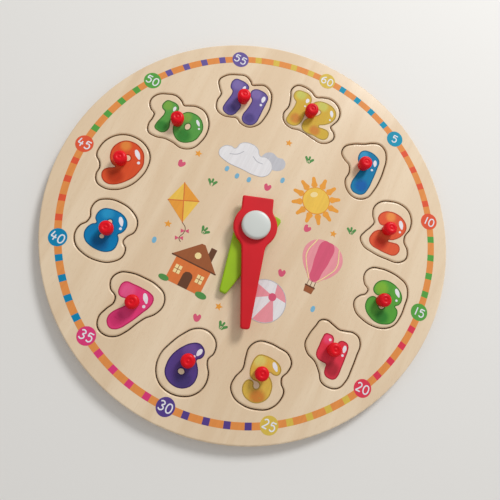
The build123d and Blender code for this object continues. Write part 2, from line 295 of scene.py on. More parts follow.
def plywood(name):
    """Varnished birch plywood: veneer where it faces up or down, plies on its sides."""
    material, tree, surface = new_material(
        name, 0.55, Specular_IOR_Level=0.2, Coat_Weight=0.5, Coat_Roughness=0.19
    )
    grain = place_group(tree, birch)
    veneer = mix(tree, grain.outputs["Bands"], veneer_light, veneer_deep)
    veneer = mix(tree, times(tree, grain.outputs["Streaks"], veneer_streaks), veneer, veneer_deep)
    veneer = mix(tree, times(tree, grain.outputs["Pores"], veneer_pores), veneer, pore_colour)
    facing = add_node(tree, "ShaderNodeNewGeometry").outputs["Normal"]
    upward = add_node(tree, "ShaderNodeSeparateXYZ", {0: facing}).outputs["Z"]
    level = add_node(tree, "ShaderNodeMath", {0: upward}, operation="ABSOLUTE").outputs[0]
    side = ramp(tree, level, 0.24, 0.05)
    tree.links.new(mix(tree, side, veneer, cut_edge(tree)), surface.inputs["Base Color"])
    bump(tree, surface, grain.outputs["Height"], 0.12, 0.15 * mm)
    return material


face_plywood = plywood("face_plywood")
piece_plywood = plywood("piece_plywood")
backing_plywood = plywood("backing_plywood")


def dress(name, material):
    """Gives a node of the frame its material."""
    slots = cad_nodes[name].data.materials
    slots.clear()
    slots.append(material)


dress("face_board", face_plywood)
dress("backing_board", backing_plywood)
for hour in hours:
    dress(f"number_{hour}", piece_plywood)
print("plywood", len(face_plywood.node_tree.nodes), "nodes, on the boards and", len(hours), "pieces")

# %% [markdown]
# ## Paint, plastic and metal
#
# Paint is never quite even. A shared group gives every painted or moulded piece large soft drifts of tone,
# a fine skin for the bump, and a few rubbed specks. The colour, the gloss and how much of each it gets stay
# with the piece.

# %% Paint group
speck_scale = 2600.0
paint, paint_in, paint_out = new_group(
    "paint_skin",
    [("Drift size", "NodeSocketFloat", 60.0), ("Skin size", "NodeSocketFloat", 700.0)],
    [(name, "NodeSocketFloat") for name in ("Drift", "Specks", "Skin")],
)
paint_place = add_node(paint, "ShaderNodeTexCoord").outputs["Object"]
drift = add_node(paint, "ShaderNodeTexNoise", {
    "Vector": paint_place,
    "Scale": paint_in.outputs["Drift size"],
    "Detail": 2.0,
}).outputs["Fac"]
skin = add_node(paint, "ShaderNodeTexNoise", {
    "Vector": paint_place,
    "Scale": paint_in.outputs["Skin size"],
    "Detail": 3.0,
}).outputs["Fac"]
specks = add_node(paint, "ShaderNodeTexNoise", {
    "Vector": paint_place,
    "Scale": speck_scale,
    "Detail": 1.0,
}).outputs["Fac"]
paint.links.new(ramp(paint, drift, 0.3, 0.7), paint_out.inputs["Drift"])
paint.links.new(ramp(paint, specks, 0.68, 0.74), paint_out.inputs["Specks"])
paint.links.new(skin, paint_out.inputs["Skin"])
print("paint group", len(paint.nodes), "nodes")

# %% [markdown]
# The knobs and hands are dipped in a soft glossy paint, and the cap is moulded in white plastic. A thin
# clear coat over a duller base gives them their small soft highlights. The nylon and the steel of the pivot
# are seen only when the toy is taken apart.

# %% Painted and moulded finishes
def painted(name, main, deep, worn, roughness, drift_size=60.0, skin_strength=0.05, **sockets):
    """A coat of paint or a moulded plastic, drifting from its main colour to a deeper one."""
    material, tree, surface = new_material(name, roughness, **sockets)
    coat = place_group(tree, paint, {"Drift size": drift_size})
    colour = mix(tree, coat.outputs["Drift"], main, deep)
    colour = mix(tree, times(tree, coat.outputs["Specks"], 0.25), colour, worn)
    tree.links.new(colour, surface.inputs["Base Color"])
    gloss = ramp(tree, coat.outputs["Drift"], 0, 1, roughness, roughness * 1.2)
    tree.links.new(gloss, surface.inputs["Roughness"])
    bump(tree, surface, coat.outputs["Skin"], skin_strength, 0.2 * mm)
    return material


knob_paint = painted(
    "knob_paint", tint(232, 8, 30), tint(212, 4, 24), tint(232, 70, 78), 0.42,
    Specular_IOR_Level=0.14, Coat_Weight=0.12, Coat_Roughness=0.24,
)
minute_paint = painted(
    "minute_paint", tint(218, 18, 34), tint(202, 14, 28), tint(226, 62, 70), 0.45,
    drift_size=35.0, Specular_IOR_Level=0.25, Coat_Weight=0.1, Coat_Roughness=0.3,
)
hour_paint = painted(
    "hour_paint", tint(156, 194, 26), tint(144, 182, 24), tint(190, 210, 90), 0.45,
    drift_size=35.0, Specular_IOR_Level=0.25, Coat_Weight=0.12, Coat_Roughness=0.3,
)
cap_plastic = painted(
    "cap_plastic", tint(210, 214, 210), tint(204, 209, 205), tint(192, 196, 192), 0.33,
    drift_size=25.0, Coat_Weight=0.2, Coat_Roughness=0.15,
)
nylon = painted("washer_nylon", tint(236, 234, 226), tint(226, 224, 214), tint(200, 198, 190), 0.45)
steel = painted(
    "pivot_steel", tint(186, 188, 190), tint(168, 170, 173), tint(120, 120, 120), 0.28, Metallic=1.0
)

for hour in hours:
    dress(f"knob_{hour}", knob_paint)
for name, material in {
    "minute_hand": minute_paint,
    "hour_hand": hour_paint,
    "centre_cap": cap_plastic,
    "cap_base": cap_plastic,
    "lower_washer": nylon,
    "middle_washer": nylon,
    "upper_washer": nylon,
    "pivot_barrel": steel,
    "pivot_screw": steel,
}.items():
    dress(name, material)
    print(name, "in", material.name)

# %% [markdown]
# ## Inks
#
# The board is screen-printed. Ink on wood is a thin film: the grain darkens it a little, and it has a soft
# even sheen. Large numerals are shaded like balloons, with a lighter spot high on the shape and a deeper,
# mottled one low on it, so an ink can be given such spots. The deeper spot is printed tone, and where a
# knob's shadow falls on it, as on the 3, it is also painted shadow.

# %% Spot group and inks
spot, spot_in, spot_out = new_group(
    "soft_spot",
    [("Centre", "NodeSocketVector", (0, 0, 0)), ("Radius", "NodeSocketFloat", 0.005)],
    [("Mask", "NodeSocketFloat"), ("Blotches", "NodeSocketFloat")],
)
spot_place = add_node(spot, "ShaderNodeTexCoord").outputs["Object"]
ends = {0: spot_place, 1: spot_in.outputs["Centre"]}
spot_reach = add_node(spot, "ShaderNodeVectorMath", ends, operation="DISTANCE").outputs["Value"]
shares = {0: spot_reach, 1: spot_in.outputs["Radius"]}
spot_share = add_node(spot, "ShaderNodeMath", shares, operation="DIVIDE").outputs[0]
spot_mask = ramp(spot, spot_share, 1.2, 0.45)
mottle = stretched_noise(spot, spot_place, (1, 1, 1), 620, detail=3)
spot.links.new(spot_mask, spot_out.inputs["Mask"])
spot.links.new(times(spot, spot_mask, ramp(spot, mottle, 0.54, 0.66)), spot_out.inputs["Blotches"])


grain_shade = tint(70, 50, 36)
grain_in_ink = 0.07


def ink(name, colour, spots=(), blotch=None):
    """Ink on birch. Each spot is its place, its radius, its colour and how mottled it is."""
    material, tree, surface = new_material(name, 0.55, Specular_IOR_Level=0.15)
    mixed = colour
    for place, radius, spot_colour, mottled in spots:
        shade = place_group(tree, spot, {"Centre": place, "Radius": radius})
        mixed = mix(tree, shade.outputs["Mask"], mixed, spot_colour)
        if mottled:
            mixed = mix(tree, times(tree, shade.outputs["Blotches"], mottled), mixed, blotch)
    grain = place_group(tree, birch)
    mixed = mix(tree, times(tree, grain.outputs["Streaks"], grain_in_ink), mixed, grain_shade)
    mixed = mix(tree, times(tree, grain.outputs["Pores"], grain_in_ink), mixed, grain_shade)
    tree.links.new(mixed, surface.inputs["Base Color"])
    bump(tree, surface, grain.outputs["Height"], 0.08, 0.1 * mm)
    return material


white_ink = ink("white_ink", tint(234, 234, 240))
print("spot group", len(spot.nodes), "nodes, a plain ink", len(white_ink.node_tree.nodes))

# %% [markdown]
# ## Laying a shape or a line of ink
#
# A printed shape is an outline filled with colour. It could be an image on the board, but then its edge
# would be as coarse as the image. Here each outline is a closed curve that Blender fills, which becomes a
# mesh and gets the film's thickness from a Solidify modifier. A printed line is a curve with a round bevel,
# pressed flat in edit mode.

# %% Curves
def select_only(*objects):
    bpy.ops.object.select_all(action="DESELECT")
    for item in objects:
        item.select_set(True)
    bpy.context.view_layer.objects.active = objects[0]


def curve_object(lines, rounded):
    """A curve through points in millimetres. Each line is its points and whether it closes."""
    drawing = bpy.data.curves.new("drawing", "CURVE")
    drawing.resolution_u = 6 if rounded else 1
    for points, closed in lines:
        line = drawing.splines.new("BEZIER")
        line.bezier_points.add(len(points) - 1)
        line.use_cyclic_u = closed
        for knot, (x, y) in zip(line.bezier_points, points):
            knot.co = (x * mm, y * mm, 0)
            knot.handle_left_type = "AUTO" if rounded else "VECTOR"
            knot.handle_right_type = "AUTO" if rounded else "VECTOR"
    item = bpy.data.objects.new("drawing", drawing)
    bpy.context.scene.collection.objects.link(item)
    return item


def curve_to_mesh(item, finish):
    select_only(item)
    bpy.ops.object.convert(target="MESH")
    made = bpy.context.object
    made.data.materials.append(finish)
    return made


# %% [markdown]
# A film of ink is a few hundredths of a millimetre thick and sinks a little into the wood, so that no gap
# shows under it. Inks that are printed over each other rise in small steps, or they would flicker.

# %% Filled shapes and lines
film = 0.06 * mm
sunk = 0.02 * mm
layer_step = 0.02 * mm
line_height = 0.05 * mm


def thicken(item, thickness):
    """Gives a flat mesh its thickness downwards and closes it."""
    if item.data.polygons[0].normal.z < 0:
        item.data.flip_normals()
    select_only(item)
    modifier = item.modifiers.new("film", "SOLIDIFY")
    modifier.thickness = thickness
    modifier.offset = -1
    bpy.ops.object.modifier_apply(modifier=modifier.name)


def print_shape(outlines, place, finish, layer=0, rounded=True):
    """A filled shape of ink. Outlines are closed lists of (x, y) in millimetres about place."""
    item = curve_object([(points, True) for points in outlines], rounded)
    item.data.dimensions = "2D"
    item.data.fill_mode = "BOTH"
    shape = curve_to_mesh(item, finish)
    raised = layer * layer_step
    shape.data.transform(Matrix.Translation((place.x, place.y, board_top + film + raised)))
    thicken(shape, film + sunk + raised)
    return shape


def print_line(lines, place, finish, width, layer=0):
    """Lines of ink with round ends, pressed flat on the layer below them."""
    item = curve_object(lines, rounded=True)
    item.data.dimensions = "3D"
    item.data.bevel_depth = width / 2
    item.data.bevel_resolution = 2
    item.data.use_fill_caps = True
    stroke = curve_to_mesh(item, finish)
    bpy.ops.object.mode_set(mode="EDIT")
    bpy.ops.mesh.select_all(action="SELECT")
    bpy.ops.transform.resize(value=(1, 1, line_height / width), center_override=(0, 0, 0))
    bpy.ops.object.mode_set(mode="OBJECT")
    height = board_top + film + layer * layer_step
    stroke.data.transform(Matrix.Translation((place.x, place.y, height)))
    return stroke


# %% [markdown]
# The shapes of one print are joined into one piece, which rides on the part of the toy that carries it. The
# numerals lift out with their number pieces, and all else stays on the board. Ovals and turned outlines
# recur in many prints, and so do places that are given as on a clock, by bearing and radius.

# %% Joining and placing
def join_as(name, parts, body):
    """Joins printed shapes into one named piece that rides on a body."""
    select_only(*parts)
    if len(parts) > 1:
        bpy.ops.object.join()
    piece = bpy.context.object
    piece.name = name
    piece.data.name = name
    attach(piece, body)
    return piece


def turned(points, degrees, size=1.0):
    """Points turned counterclockwise about the middle, and scaled."""
    level = size * math.cos(math.radians(degrees))
    rise = size * math.sin(math.radians(degrees))
    return [(x * level - y * rise, x * rise + y * level) for x, y in points]


def oval(x, y, half_width, half_height=None, count=12, turn=0.0):
    """The points of an oval, turned by a number of degrees."""
    half_height = half_width if half_height is None else half_height
    angles = [2 * math.pi * step / count for step in range(count)]
    rim = [(half_width * math.cos(angle), half_height * math.sin(angle)) for angle in angles]
    return [(x + across, y + along) for across, along in turned(rim, turn)]


def around(bearing, radius):
    """The place at a clockwise bearing from the 12, in degrees, and a radius in millimetres."""
    angle = math.radians(bearing)
    return Vector((radius * mm * math.sin(angle), radius * mm * math.cos(angle), board_top))


print("a plain film is", round((film + sunk) / mm, 2), "mm thick")

# %% [markdown]
# ## The twelve numerals
#
# Each piece carries its number as a fat balloon figure with a darker edge. The outlines are given in
# millimetres about the middle of the piece, and pass smoothly through their points. Small white drops and
# dots near the upper right make the balloons shine.

# %% Numeral outlines
numeral_outlines = {
    1: [[
        (-4.7, 8.8), (-3.1, 13), (2.1, 14.9), (7.8, 14), (11.4, 11.4), (12.3, 5.2), (12.5, -5.2),
        (12, -14.6), (10.2, -19.4), (5.2, -21.4), (0.5, -19.8), (-1.1, -15.6), (0, -7.3), (0.6, 0.6),
        (-3.1, 3.6),
    ]],
    2: [[
        (-12.7, 5.2), (-10.4, 10.4), (-5.7, 13), (0, 13.6), (5.2, 12.2), (9.2, 8.8), (10.4, 5.2),
        (9.4, 0.5), (7.3, -3.1), (4.2, -6.2), (0.6, -8.9), (5.2, -8.8), (8.8, -8.3), (11.2, -10.4),
        (11.2, -14.6),
        (8.8, -17.4), (4.2, -18.3), (-3.1, -18.4), (-9.9, -17.4), (-12.4, -14.6), (-12.4, -10.4),
        (-10.4, -6.2), (-6.8, -3.6), (-1, -1.2), (1.6, 1.8), (0.4, 4.4), (-2.8, 4.2), (-5.6, 1.8),
        (-8.3, 0.5), (-11.4, 2.1),
    ]],
    3: [[
        (-8.4, 5.7), (-6.8, 10.4), (-3.1, 13.3), (2.1, 14.1), (7.8, 12.7), (12.5, 9.4), (14.3, 5.2),
        (13.5, 1.6), (11.4, -0.9), (14, -3.1), (15.1, -7.3), (13.5, -13), (8.3, -16.6), (2.6, -17.7),
        (-3.1, -16.1), (-7.8, -12.5), (-9.5, -7.8), (-8.3, -3.1), (-5.2, -1.3), (-2.6, -2.6), (-0.6, -6.2),
        (2, -7.8), (4.4, -6), (4, -3.2), (1.4, -1.6), (1.4, 0.6), (4.6, 2.2), (5.4, 4.6), (3.1, 5.4),
        (0, 3.6), (-2.6, 1.6), (-5.2, 1.3), (-7.8, 3.1),
    ]],
    4: [[
        (-8.9, 2.6), (-8.8, 8.8), (-8.1, 11.7), (-5.2, 12.6), (-2.4, 12), (-0.9, 9.2), (-0.4, 4), (0.8, 1),
        (2, 4), (2.9, 9.6), (4.2, 11.7), (7.3, 12.4), (9.9, 11.2), (11, 8.3), (11.4, 2.6), (11.5, -5.2),
        (11.3, -11.4), (9.9, -14.3), (6.2, -15.3), (2.6, -14), (1.3, -10.4), (0.9, -7.6), (-3.6, -6.9),
        (-6.8, -6), (-8.6, -3.6),
    ]],
    5: [[
        (-10.7, 4.2), (-9.9, 10.4), (-8.1, 12.5), (-4.2, 13.5), (0.5, 13.6), (5.2, 12.7), (8.6, 10.4),
        (9.6, 7.8), (8.8, 5.5), (6.2, 4.6), (2.8, 4.8), (2.4, 2.8), (4.7, 1), (7.3, -1.6), (8.9, -6.2),
        (8.6, -11.4), (5.7, -15.6), (1.6, -17.9), (-3.1, -17.9), (-7.3, -16.1), (-9.6, -13), (-10.1, -9.4),
        (-9.1, -6.8), (-6.8, -5.7), (-4.7, -6.5), (-3.9, -8.6), (-1.8, -9.8), (0.2, -8.6), (0.3, -6),
        (-1.6, -4.5), (-5.7, -4.4), (-8.3, -3.1), (-9.9, 0),
    ]],
    6: [
        [
            (2.1, 13.4), (5.2, 12.6), (7.5, 10.7), (8.4, 8.3), (7.8, 5.7), (5.4, 3), (7.3, 0), (9.4, -3.1),
            (10.7, -7.3), (10.1, -12.5), (7.3, -16.1), (3.1, -18.1), (-1.6, -18.2), (-6.2, -16.6),
            (-9.9, -13), (-11.3, -7.8), (-11.2, -3.1), (-9.6, 2.1), (-6.8, 6.8), (-3.1, 10.9),
        ],
        oval(-0.4, -8.1, 2.6, 2.3),
    ],
    7: [[
        (-11.7, 13), (-9.9, 15.1), (-5.2, 15.6), (3.1, 15.7), (8.3, 15.1), (11.4, 13.5), (12.6, 10.4),
        (12, 6.2), (9.9, 1.6), (7.3, -4.2), (4.2, -9.9), (1, -14.6), (-1.8, -16.6), (-4.7, -17.1),
        (-7.8, -15.1), (-9.3, -11.4), (-8.3, -7.3), (-6.2, -4.2), (-3.2, -0.6), (-1.6, 2.8), (-4, 4.9),
        (-8.8, 4.8), (-10.9, 6.2), (-12, 9.9),
    ]],
    8: [
        [
            (0, 15.3), (-5.2, 14.6), (-9.4, 12.5), (-11.2, 8.8), (-10.9, 4.7), (-8.6, 1.6), (-10.9, -0.7),
            (-12.6, -4.7), (-12.2, -8.8), (-9.4, -12.5), (-5.2, -14.3), (-0.5, -14.9), (4.2, -14.5),
            (8.3, -12.7), (10.7, -9.9), (11, -5.2), (9.9, -1.6), (8.2, 0.8), (9.9, 3.1), (11, 7.3),
            (9.9, 10.9), (7.3, 13.5), (3.6, 15),
        ],
        oval(-0.9, 6.2, 2.0, 2.2),
        oval(-0.8, -5.2, 2.0),
    ],
    9: [
        [
            (0, 17.6), (3.1, 17.7), (7.3, 16.4), (10.9, 14), (13.5, 9.9), (15.2, 5.2), (14.8, 0),
            (13.5, -5.2), (10.4, -10.4), (6.2, -15.1), (2.6, -17.4), (-0.5, -18.2), (-4.7, -16.9),
            (-7, -14), (-7.4, -11.2), (-5.7, -8.3), (-2.6, -6.2), (-1.3, -4.7), (-4.2, -3.6), (-7.3, -1),
            (-9.1, 2.6), (-9.8, 6.8), (-8.6, 11.4), (-5.7, 15.3), (-3.1, 16.9),
        ],
        oval(2.9, 5.2, 2.6),
    ],
    10: [
        [
            (-14.3, 8.8), (-13, 11.4), (-9.4, 12.2), (-5.7, 12), (-3.4, 10.4), (-2.7, 8.3), (-3.6, 4),
            (-4.4, 0), (-3.2, -4.7), (-2.3, -7.3), (-2.9, -10.9), (-4.9, -13), (-8.3, -13.3),
            (-11.2, -12.2), (-11.7, -8.8), (-10.7, -3.6), (-10.1, 1), (-10.9, 3.1), (-13.3, 4.2),
            (-14.6, 6.8),
        ],
        [
            (2.1, 7.8), (4.7, 10.4), (9.4, 11.5), (14.6, 10.4), (18.2, 7.3), (20.3, 3.1), (20.4, -1.6),
            (19.2, -6.8), (15.6, -10.9), (11.4, -13), (7.8, -13), (4.2, -10.9), (1.6, -7.8), (0.3, -4.2),
            (0.1, 0), (0.7, 4.2),
        ],
        oval(9.6, -0.1, 2.3, 2.9),
    ],
    11: [
        [
            (-12.6, 10.4), (-11.2, 12.7), (-7.3, 13.5), (-3.1, 13.3), (0, 11.6), (0.6, 9.4), (-0.2, 5),
            (-0.6, 0), (0.4, -4), (1.7, -6.6), (1.3, -10.4), (0, -14.6), (-2.6, -16.5), (-6.2, -16.6),
            (-9.1, -14.6), (-9.6, -10.4), (-8.8, -4.2), (-8.6, 1), (-9.4, 2.9), (-11.4, 4.2), (-12.7, 7.3),
        ],
        [
            (4.2, 10.4), (6.2, 12.5), (10.4, 13.4), (14.6, 12.7), (17.2, 10.4), (17.8, 6.2), (17.9, -1),
            (18.1, -7.3), (17.6, -13), (15.1, -16.1), (10.9, -17.1), (7.8, -15.6), (6.5, -11.4),
            (7.3, -6.2), (7.8, -1), (7.4, 3.1), (5, 5.6), (3.9, 8),
        ],
    ],
    12: [
        [
            (-19.8, 9.4), (-18.5, 12.2), (-14, 13.8), (-8.8, 13.5), (-5.9, 10.9), (-5.3, 7.3), (-5.7, 2),
            (-5.7, -2.6), (-5.3, -7.3), (-6, -12.5), (-8.3, -15.6), (-12, -16.6), (-15.9, -15.1),
            (-16.4, -10.4), (-15.3, -3.1), (-15.3, 1.6), (-15.8, 3.4), (-17.9, 4.7), (-19.5, 6.8),
        ],
        [
            (-2.4, 9.6), (0, 12), (3.1, 13.3), (7.8, 13.8), (13, 12.7), (16.4, 9.4), (17.3, 5.2),
            (15.6, 0.5), (12.5, -3.1), (8.4, -7.2), (13, -7.3), (16.6, -7.6), (18.2, -9.9), (17.7, -14),
            (15.1, -15.9),
            (7.8, -16), (1, -16.4), (-2.6, -14.6), (-3.6, -10.4), (-2, -5.6), (2, -1.4), (5, 2), (5.3, 4.8),
            (3, 5.8), (1, 3.8), (-2, 4.2), (-3.4, 6.6),
        ],
    ],
}
print(sum(len(outlines) for outlines in numeral_outlines.values()), "outlines, five of them holes")

# %% [markdown]
# A drop of shine is a short fat line, wider near its start. A dot is a small oval. Each numeral's inks are
# its main colour, its edge, and the spots where the balloon turns lighter and deeper; the deeper spots also
# hold painted shadow where a knob's shadow falls.

# %% Numeral shine and colours
shine_drops = {
    1: [(8.6, 10.6, 10.2, 5.4, 1.3)],
    2: [(3.8, 10.2, 7.6, 4.2, 1.5)],
    3: [(7.2, 11.6, 11.9, 6.6, 1.4)],
    4: [(8.3, 10.3, 9.2, 5, 1.3)],
    5: [(2.4, 12, 7.3, 7.2, 1.4)],
    6: [(5.7, 11, 4.4, 5.5, 1.5)],
    7: [(4.9, 13.6, 9.5, 7.6, 1.5)],
    8: [(3.7, 12.8, 8, 7.2, 1.4)],
    9: [(5.1, 13.7, 11, 8.1, 1.5)],
    10: [(13.2, 8.1, 17.1, 4.3, 1.0), (-5.5, 9.9, -5.3, 5.8, 1.0)],
    11: [(14.6, 10.3, 15, 4.8, 1.4), (-2.2, 10.8, -2.8, 6.4, 1.0)],
    12: [(12.2, 10, 14.9, 5, 1.2), (-8.1, 10.1, -8.1, 6, 1.3)],
}
shine_dots = {
    1: [(9.2, 1.9, 0.9)],
    2: [(6.9, 1.6, 0.9)],
    3: [(10.9, 3.6, 0.9)],
    4: [(-3.4, 9.3, 1.0), (9.1, 3.1, 0.9)],
    5: [],
    6: [(3.1, 4.4, 0.9)],
    7: [(8.7, 5.2, 1.1)],
    8: [(7.9, 5.3, 1.0)],
    9: [(11.6, 5.6, 1.1)],
    10: [(17.8, 2.4, 0.8)],
    11: [(15, 2.5, 1.0)],
    12: [(14.3, 2.1, 0.7), (-8, 3, 0.7)],
}
numeral_colours = {
    1: [(0, 124, 172), (0, 98, 136), (44, 150, 200), (0, 96, 172)],
    2: [(226, 92, 56), (192, 68, 40), (236, 146, 74), (204, 58, 36)],
    3: [(88, 164, 62), (56, 122, 44), (126, 182, 58), (52, 128, 48)],
    4: [(226, 56, 76), (178, 32, 54), (236, 76, 116), (178, 42, 56)],
    5: [(220, 182, 78), (182, 148, 62), (218, 206, 112), (204, 128, 54)],
    6: [(86, 62, 134), (60, 40, 100), (108, 80, 154), (68, 54, 114)],
    7: [(230, 62, 124), (190, 36, 94), (232, 92, 144), (208, 50, 108)],
    8: [(0, 126, 184), (0, 94, 138), (36, 150, 202), (0, 92, 150)],
    9: [(222, 84, 44), (180, 58, 28), (226, 136, 62), (190, 58, 24)],
    10: [(88, 160, 72), (62, 116, 42), (122, 172, 70), (54, 130, 52)],
    11: [(104, 88, 156), (72, 56, 116), (126, 110, 174), (80, 68, 132)],
    12: [(212, 176, 62), (178, 150, 66), (202, 200, 98), (208, 134, 56)],
}
light_spots = {
    1: [(-1.5, 10, 4.5)], 2: [(-4, 9.5, 4.5)], 3: [(-3, 7, 6)], 4: [(-5, 9, 4)], 5: [(-6.5, 8.5, 5)],
    6: [(-1, 7, 6)], 7: [(-6, 10, 6)], 8: [(-5, 11, 5)], 9: [(-2.5, 13, 4.5)],
    10: [(-11, 8, 4.5), (5, 6.5, 5)], 11: [(-8, 9, 5), (8, 9, 5)], 12: [(-14.5, 10.5, 5), (4.5, 10, 5)],
}
# Deeper spots: printed tone, and painted shadow where a knob's shadow falls on them, as on the 3.
deep_tone_and_shadow_spots = {
    1: [(6.5, -14, 6)], 2: [(-4, -13.5, 6)], 3: [(5, -12.5, 6)], 4: [(6, -9, 6)], 5: [(2, -14, 6.5)],
    6: [(3, -13, 7)], 7: [(-4, -10, 6)], 8: [(0, -10.5, 7)], 9: [(2, -11, 6.5)],
    10: [(-7.5, -9, 5), (10, -8, 6.5)], 11: [(-4, -12, 5), (12, -12, 5)],
    12: [(-10.6, -10, 5), (7, -12, 5)],
}


def drop(start_x, start_y, end_x, end_y, half_width):
    """The outline of a drop of shine, fattest a third of the way along."""
    along = Vector((end_x - start_x, end_y - start_y))
    across = Vector((-along.y, along.x)).normalized() * half_width
    start = Vector((start_x, start_y))
    shares = [(0, 0), (0.3, 1), (0.8, 0.7), (1, 0), (0.8, -0.7), (0.3, -1)]
    return [tuple(start + along * run + across * side) for run, side in shares]


numeral_edge_width = 0.8 * mm
deep_mottle = 0.5
for hour in hours:
    low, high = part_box(f"number_{hour}")
    middle = (low + high) / 2
    main, edge, light, deep = [tint(*colour) for colour in numeral_colours[hour]]
    spots = []
    for table, colour, mottled in ((light_spots, light, 0), (deep_tone_and_shadow_spots, deep, deep_mottle)):
        for x, y, radius in table[hour]:
            spot_centre = (middle.x + x * mm, middle.y + y * mm, board_top)
            spots.append((spot_centre, radius * mm, colour, mottled))
    outlines = numeral_outlines[hour]
    rims = [(points, True) for points in outlines]
    parts = [
        print_shape(outlines, middle, ink(f"numeral_ink_{hour}", main, spots, edge)),
        print_line(rims, middle, ink(f"numeral_edge_{hour}", edge), numeral_edge_width),
    ]
    for values in shine_drops[hour]:
        parts.append(print_shape([drop(*values)], middle, white_ink, layer=1))
    for x, y, radius in shine_dots[hour]:
        parts.append(print_shape([oval(x, y, radius, count=8)], middle, white_ink, layer=1))
    numeral = join_as(f"numeral_{hour}", parts, f"piece_{hour}")
    print(numeral.name, len(numeral.data.polygons), "faces")

# %% [markdown]
# ## The minute ring
#
# A striped band runs round the edge, with one coloured square for each minute and a badge at every fifth.
# The band starts as a circle of edges, two to a degree, that is extruded outwards into a strip of faces.
# The faces near a minute then take that stretch's colour.

# %% Minute band
band_radius = 137.0 * mm
band_width = 5.0 * mm
steps = 720
square_steps = 4
badge_radius = 6.4
ring_colours = {
    "teal": (0, 148, 182), "coral": (228, 90, 58), "green": (88, 164, 70), "rose": (224, 60, 84),
    "straw": (218, 188, 80), "violet": (86, 64, 140), "pink": (222, 60, 122), "blue": (0, 134, 182),
    "lilac": (106, 90, 158),
}
stretch_colours = [
    "teal", "coral", "green", "rose", "straw", "violet",
    "pink", "blue", "coral", "green", "lilac", "straw",
]
band_ink = ink("band_ink", tint(230, 146, 76))
ring_inks = {name: ink(f"ring_{name}", tint(*colour)) for name, colour in ring_colours.items()}
ink_order = list(ring_inks)

bpy.ops.object.select_all(action="DESELECT")
bpy.ops.mesh.primitive_circle_add(vertices=steps, radius=band_radius - band_width / 2, location=(0, 0, 0))
band = bpy.context.object
bpy.ops.object.mode_set(mode="EDIT")
bpy.ops.mesh.select_all(action="SELECT")
bpy.ops.mesh.extrude_edges_move()
outward = (band_radius + band_width / 2) / (band_radius - band_width / 2)
bpy.ops.transform.resize(value=(outward, outward, 1))
bpy.ops.mesh.select_all(action="SELECT")
bpy.ops.mesh.normals_make_consistent(inside=False)
bpy.ops.object.mode_set(mode="OBJECT")
band.data.materials.append(band_ink)
for name in ink_order:
    band.data.materials.append(ring_inks[name])
for face in band.data.polygons:
    bearing = math.degrees(math.atan2(face.center.x, face.center.y)) % 360
    minute = round(bearing / 6)
    near = abs(bearing - 6 * minute) < square_steps * 180 / steps
    if near and minute % 5:
        face.material_index = 1 + ink_order.index(stretch_colours[minute // 5])
band.data.transform(Matrix.Translation((0, 0, board_top + film)))
thicken(band, film + sunk)
join_as("minute_band", [band], "board")
print("minute band", len(band.data.polygons), "faces")

# %% [markdown]
# ## The badges and their figures
#
# Each fifth minute has a disc with its number. The small figures are single strokes with round ends, so
# they are lines of ink, about a millimetre wide.

# %% Badges
stroke_width = 0.98 * mm
figure_gap = 5.3
narrow_gap = 4.3
strokes = {
    "0": [([(0, 3.0), (-1.9, 0), (0, -3.0), (1.9, 0)], True)],
    "1": [([(0.1, 3.0), (-0.1, -3.0)], False)],
    "2": [
        ([(-1.6, 2.0), (0, 3.0), (1.5, 1.7), (0.3, -0.7), (-1.7, -2.9)], False),
        ([(-1.7, -2.9), (1.7, -2.9)], False),
    ],
    "3": [
        ([(-1.6, 2.4), (0, 3.0), (1.4, 1.7), (-0.2, 0.2)], False),
        ([(-0.2, 0.2), (1.6, -1.3), (0, -3.0), (-1.8, -2.3)], False),
    ],
    "4": [
        ([(-0.9, 3.0), (-1.8, -0.8)], False),
        ([(-1.8, -0.8), (2.0, -0.8)], False),
        ([(0.9, 1.2), (0.5, -3.0)], False),
    ],
    "5": [
        ([(1.7, 2.8), (-1.3, 2.8)], False),
        ([(-1.3, 2.8), (-1.5, 0.5)], False),
        ([(-1.5, 0.5), (0.4, 0.9), (1.6, -1.0), (0.2, -2.9), (-1.7, -2.4)], False),
    ],
    "6": [([(1.0, 3.0), (-1.2, 1.2), (-1.8, -1.1), (0, -3.0), (1.7, -1.2), (0, 0.4), (-1.7, -0.9)], False)],
}


def figure_lines(number):
    """The strokes of a number's figures, side by side about its middle."""
    figures = str(number)
    gap = narrow_gap if "1" in figures else figure_gap
    lines = []
    for index, figure in enumerate(figures):
        shift = (index - (len(figures) - 1) / 2) * gap
        for points, closed in strokes[figure]:
            lines.append(([(x + shift, y) for x, y in points], closed))
    return lines


for fifth in hours:
    place = around(30 * fifth, band_radius / mm)
    finish = ring_inks[stretch_colours[fifth - 1]]
    disc = print_shape([oval(0, 0, badge_radius, count=16)], place, finish, layer=1)
    figures = print_line(figure_lines(5 * fifth), place, white_ink, stroke_width, layer=1)
    badge = join_as(f"badge_{5 * fifth}", [disc, figures], "board")
    print(badge.name, len(badge.data.polygons), "faces")

# %% [markdown]
# ## Pictures inside the ring
#
# Six simple pictures stand between the numbers and the hands, and small marks fill the gaps. Each picture
# is a stack of flat shapes, drawn in millimetres about its own middle with its top towards the 12. Things
# made by people are built from straight outlines, and soft ones from rounded outlines.

# %% Picture inks
picture_inks = {
    name: ink(f"picture_{name}", tint(*colour))
    for name, colour in {
        "yellow": (240, 196, 84), "amber": (236, 160, 62), "orange": (222, 120, 62),
        "brown": (158, 92, 56), "umber": (104, 66, 46), "pink": (236, 152, 162), "rose": (218, 92, 122),
        "white": (232, 230, 232), "grey": (196, 196, 202), "cream": (246, 222, 160),
        "leaf": (84, 146, 78), "sky": (124, 182, 212),
    }.items()
}


